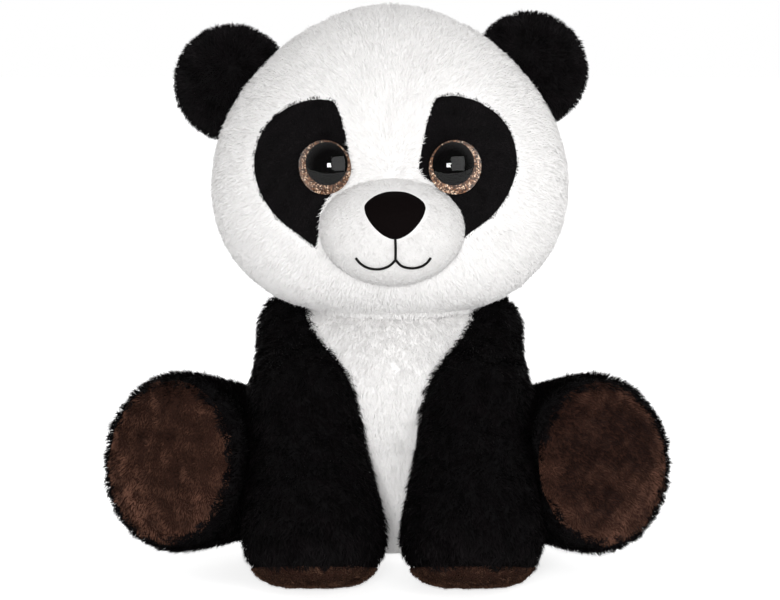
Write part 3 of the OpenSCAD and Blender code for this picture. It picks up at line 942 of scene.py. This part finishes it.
# Arms. Each is an outer and an inner panel of long black plush round its own stuffing, with a brown sole sewn
# into the flat end of the paw. The root is sewn to the shoulder, so the arm hangs and lies along the belly.
PAW_CENTRE = np.array([42.0, -88.0, 30.0])
PAW_SHIFT = np.array([1.7, 0, 0])    # both paws rest a little towards the toy's left
PAW_RADIUS = 37.0
PAW_TILT = math.radians(14)
SOLE_DROP = 20.5
PAW_SOLE_HALF = np.array([33.0, 30.0])
SHOULDER_RADIUS = 17.5
SHOULDER = np.array([55.0, -5.0, 131.0])
ELBOW = np.array([47.5, -45.0, 92.0])
ELBOW_RADIUS = 26.5
sole_facing = np.array([0, -math.sin(PAW_TILT), -math.cos(PAW_TILT)])
arm_shapes = {}


def arm_of(s):
    """The form of one arm, before its sole is sewn in."""
    mirror = np.array([s, 1, 1])
    shoulder, elbow, paw = SHOULDER * mirror, ELBOW * mirror, PAW_CENTRE * mirror + PAW_SHIFT

    def arm_shape(points):
        upper = roll(points, shoulder, elbow, SHOULDER_RADIUS, ELBOW_RADIUS)
        lower = roll(points, elbow, paw, ELBOW_RADIUS, PAW_RADIUS)
        form = joined(upper, lower, 14)
        return pressed(form, (points - paw) @ sole_facing - SOLE_DROP, 9)
    return arm_shape


brown_ground = plush_ground("brown plush ground", (0.01, 0.004, 0.003), (0.04, 0.016, 0.01))
brown_pile = plush_pile("brown plush pile", (0.008, 0.003, 0.0022), (0.010, 0.004, 0.003),
                        (0.20, 0.092, 0.06), roughness=0.75, specular=0.08)
paw_brown_pile = plush_pile("paw sole pile", (0.02, 0.009, 0.006), (0.045, 0.02, 0.013), (0.16, 0.085, 0.055),
                            roughness=0.75, specular=0.08)


def sole_pad(name, middle, facing, across, half_width, half_height, puff, rings=12, around=48):
    """A padded oval that stands a little proud of the flat end it is sewn into."""
    across = unit(np.array(across, float))
    upward = np.cross(facing, across)
    points, faces = [np.array(middle) + facing * puff], []
    for ring in range(1, rings + 1):
        share = ring / rings
        for k in range(around):
            angle = 2 * math.pi * k / around
            lift = puff * (1 - share ** 4) - 1.5 * share ** 10
            points.append(middle + facing * lift + share * (
                math.cos(angle) * half_width * across + math.sin(angle) * half_height * upward))
    for k in range(around):
        after = (k + 1) % around
        faces.append((0, 1 + k, 1 + after))
        for ring in range(rings - 1):
            a, b = 1 + ring * around, 1 + (ring + 1) * around
            faces.append((a + k, b + k, b + after, a + after))
    pad = mesh_piece(name, points, faces)
    flip_to(pad, facing)
    return pad


for side, s in SIDES.items():
    mirror = np.array([s, 1, 1])
    arm_shape = arm_of(s)
    arm_shapes[side] = arm_shape
    shoulder, paw = SHOULDER * mirror, PAW_CENTRE * mirror + PAW_SHIFT
    arm_form = stuffed_form(f"arm {side} form", arm_shape, shoulder, paw, 62, 60, 60)
    seam_normal = unit(np.array([1.0, 0, -(paw[0] - shoulder[0]) / (paw[2] - shoulder[2])]))

    def arm_seam(points):
        return (points - shoulder) @ seam_normal

    plump(arm_form, lambda p: np.maximum(near_seams([arm_seam], 2.2)(p),
                                         ((p - paw) @ sole_facing > SOLE_DROP - 3).astype(float)), 2.0)
    arm_panels = cut_out(
        arm_form, [(shoulder, seam_normal)], [f"arm_outer_{side}_skin", f"arm_inner_{side}_skin"],
        lambda c: (arm_seam(c) * s < 0).astype(int), groove=lambda p: 0.8 * near_seams([arm_seam], 2.4)(p))

    sole_middle = paw + sole_facing * (SOLE_DROP - 0.8)
    paw_sole = sole_pad(f"paw_sole_{side}_pad", sole_middle, sole_facing, (1, 0, 0), *PAW_SOLE_HALF, 8.0)
    dress(paw_sole, f"arm_{side}", brown_ground, [f"paw_sole_{side}"])

    def down_the_arm(points, normals):
        return np.tile(unit((PAW_CENTRE - SHOULDER) * mirror) + [0.1 * s, 0, -0.3], (len(points), 1))

    def seen_on_arm(points):
        sole_off = points - sole_middle
        flat = sole_off - np.outer(sole_off @ sole_facing, sole_facing)
        in_outline = np.linalg.norm(flat / PAW_SOLE_HALF[[0, 1, 1]], axis=1) < 0.95
        on_sole = in_outline & (sole_off @ sole_facing > -3)
        return ~on_sole & (head_shape(points) > -2) & (body_shape(points) > -3)

    for panel, node in zip(arm_panels, ("arm_outer", "arm_inner")):
        nodes = [f"{node}_{side}"] + ([f"arm_stuffing_{side}"] if node == "arm_outer" else [])
        dress(panel, f"arm_{side}", black_ground, nodes)
        pile(f"{node}_{side}_pile", panel, f"arm_{side}", long_black_pile, 1.2, 5.4, down_the_arm,
             lean=58, width=0.5, keep=seen_on_arm, seed=71 + s + len(node), tuft=0.5, tuft_size=8)
    pile(f"paw_sole_{side}_pile", paw_sole, f"arm_{side}", paw_brown_pile, 2.0, 2.6,
         lambda p, n: np.tile([0.3, -1.0, 0.2], (len(p), 1)), lean=48, width=0.45, seed=81 + s, tuft=0.5,
         tuft_size=6)


# Legs. An upper and a lower panel of long black plush, stuffed firmly and sewn to the hips so that they point
# outwards and forwards. A round brown sole closes each foot, and the black pile stands round it as a rim.
FOOT_RADIUS, FOOT_RIM = 47.5, 11.0
# The right foot points a little further out.
FOOT_SHIFT = {"left": np.array([0, 0, 2.0]), "right": np.array([-4.5, 0, 3.0])}
THIGH_RADIUS = 38.0
SOLE_HALF_WIDTH, SOLE_HALF_HEIGHT = 42.0, 43.5
for side, s in SIDES.items():
    hip = pivot(f"leg_{side}_splay")
    low, high = cad_low_high(f"foot_sole_{side}")
    foot = (low + high) / 2 + FOOT_SHIFT[side]
    along = unit(foot - hip)
    start = hip + np.array([-4.0 * s, 0, 3.0])
    arm_shape = arm_shapes[side]

    def leg_shape(points):
        form = roll(points, start, foot - along * 8, THIGH_RADIUS, FOOT_RADIUS)
        flat_end = pressed(form, (points - foot) @ along, FOOT_RIM)
        return pressed(flat_end, 1.5 - arm_shape(points), 8)

    leg_form = stuffed_form(f"leg {side} form", leg_shape, start, foot - along * 30, 58, 72, 70)
    seam_normal = unit(np.cross(along, np.cross([0, 0, 1.0], along)))

    def leg_seam(points):
        return (points - foot) @ seam_normal

    plump(leg_form, lambda p: np.maximum(near_seams([leg_seam], 2.2)(p),
                                         ((p - foot) @ along > -4).astype(float)), 2.0)
    leg_panels = cut_out(
        leg_form, [(foot, seam_normal)], [f"leg_upper_{side}_skin", f"leg_lower_{side}_skin"],
        lambda c: (leg_seam(c) < 0).astype(int), groove=lambda p: 0.8 * near_seams([leg_seam], 2.4)(p))
    foot_sole = sole_pad(f"foot_sole_{side}_pad", foot - along * 1.0, along, np.cross([0, 0, 1.0], along),
                         SOLE_HALF_WIDTH, SOLE_HALF_HEIGHT, 4.0)
    dress(foot_sole, f"leg_{side}", brown_ground, [f"foot_sole_{side}"])

    def towards_the_toes(points, normals):
        from_axis = (points - foot) - np.outer((points - foot) @ along, along)
        return along + unit(from_axis) * 0.25 + np.array([0, 0, -0.35])

    def seen_on_leg(points):
        off = points - foot
        flat = np.linalg.norm(off - np.outer(off @ along, along), axis=1)
        on_sole = (flat < SOLE_HALF_WIDTH - 1) & (off @ along > -4)
        return ~on_sole & (body_shape(points) > -3) & (arm_shape(points) > -1)

    for panel, node in zip(leg_panels, ("leg_upper", "leg_lower")):
        nodes = [f"{node}_{side}"] + ([f"leg_stuffing_{side}"] if node == "leg_upper" else [])
        dress(panel, f"leg_{side}", black_ground, nodes)
        pile(f"{node}_{side}_pile", panel, f"leg_{side}", long_black_pile, 1.1, 5.8, towards_the_toes,
             lean=54, width=0.5, keep=seen_on_leg, seed=91 + s + len(node), tuft=0.55, tuft_size=8)

    def sole_tone_by_place(points, shade):
        # Lighter towards each sole's lower outer side and towards its rim, in broad random patches, and
        # darker on the toy's left sole than on its right.
        low_and_out = (points - foot) @ unit(np.array([0.7 * s, 0, -0.7])) / SOLE_HALF_WIDTH
        near = np.linalg.norm(points - foot, axis=1) / SOLE_HALF_WIDTH
        tone_pattern = 0.22 * wander(points, 26, 5 + s) + 0.3 * low_and_out + 0.2 * np.clip(near, 0, 1) ** 2
        return shade * 0.6 + tone_pattern + (0.14 if s == RIGHT else -0.22)

    pile(f"foot_sole_{side}_pile", foot_sole, f"leg_{side}", brown_pile, 2.0, 2.8,
         lambda p, n: np.tile([0.5, 0.0, -0.9], (len(p), 1)), lean=44, width=0.45, seed=101 + s, tuft=0.7,
         tuft_size=9, tone=sole_tone_by_place)


# Table. A plain pale sweep under and behind the toy.
FLOOR_SIDE, FLOOR_FRONT, FLOOR_BACK = 6000, -700, 6000
floor = mesh_piece("floor", [(-FLOOR_SIDE, FLOOR_FRONT, 0), (FLOOR_SIDE, FLOOR_FRONT, 0),
                             (FLOOR_SIDE, FLOOR_BACK, 0), (-FLOOR_SIDE, FLOOR_BACK, 0)], [(0, 1, 2, 3)])
pale = Finish("pale floor")
# The floor glows: white where the camera sees it, and faintly to all other rays, which lights the toy from
# below like a lamp.
glow = pale.mix(pale.node("LightPath", None, None, 0), (0.12, 0.12, 0.12), (0.7, 0.7, 0.7))
paper = pale.mix(pale.speckle(120, 2.0), (0.92, 0.92, 0.92), (0.94, 0.94, 0.94))
pale.surface(Base_Color=paper, Roughness=0.9, Specular_IOR_Level=0.0, Emission_Color=glow,
             Emission_Strength=1.0)
floor.data.materials.append(pale.material)


# Studio. A white room that is dimmer behind the camera, with one soft light near the camera that also shows
# in the eyes, and a broader one to the right. What the camera sees of the room is always white.
CAMERA_TARGET = Vector((0, 0, 0.145))
CAMERA_DISTANCE = 1.6
CAMERA_RISE = math.radians(7)
FRONT_OF_ROOM = 0.1                 # how bright the room is behind the camera, beside 1 behind the toy
ROOM_FADE = (-0.55, 0.45)           # from how far forward to how far back a direction the room brightens
LIGHT_AIM = Vector((0, 0, 0.16))
scene = bpy.context.scene
scene.view_settings.view_transform = "Standard"
world = bpy.data.worlds.new("white room")
scene.world = world
world.use_nodes = True
sky = world.node_tree
direction = sky.nodes.new("ShaderNodeTexCoord")
split = sky.nodes.new("ShaderNodeSeparateXYZ")
depth = sky.nodes.new("ShaderNodeMapRange")
depth.inputs["From Min"].default_value, depth.inputs["From Max"].default_value = ROOM_FADE
depth.inputs["To Min"].default_value, depth.inputs["To Max"].default_value = FRONT_OF_ROOM, 1.0
sky.links.new(direction.outputs["Generated"], split.inputs[0])
sky.links.new(split.outputs["Y"], depth.inputs["Value"])
seen = sky.nodes.new("ShaderNodeLightPath")
brighter = sky.nodes.new("ShaderNodeMath")
brighter.operation = "MAXIMUM"
sky.links.new(depth.outputs["Result"], brighter.inputs[0])
sky.links.new(seen.outputs["Is Camera Ray"], brighter.inputs[1])
sky.links.new(brighter.outputs[0], sky.nodes["Background"].inputs["Strength"])
sky.nodes["Background"].inputs["Color"].default_value = (1, 1, 1, 1)


def soft_light(name, place, size, power):
    lamp = bpy.data.lights.new(name, "AREA")
    lamp.size, lamp.energy = size, power
    light = bpy.data.objects.new(name, lamp)
    scene.collection.objects.link(light)
    light.location = place
    light.rotation_euler = (LIGHT_AIM - Vector(place)).to_track_quat("-Z", "Y").to_euler()


soft_light("broad light", (1.0, -1.9, 0.65), 1.8, 21)
soft_light("eye light", (-0.12, -1.85, 0.42), 0.42, 24)

lens = bpy.data.cameras.new("camera")
lens.lens, lens.sensor_width = 132, 36
lens.clip_start, lens.clip_end = 0.05, 30
camera = bpy.data.objects.new("camera", lens)
scene.collection.objects.link(camera)
camera.location = CAMERA_TARGET + CAMERA_DISTANCE * Vector((0, -math.cos(CAMERA_RISE), math.sin(CAMERA_RISE)))
camera.rotation_euler = (CAMERA_TARGET - camera.location).to_track_quat("-Z", "Y").to_euler()
scene.camera = camera
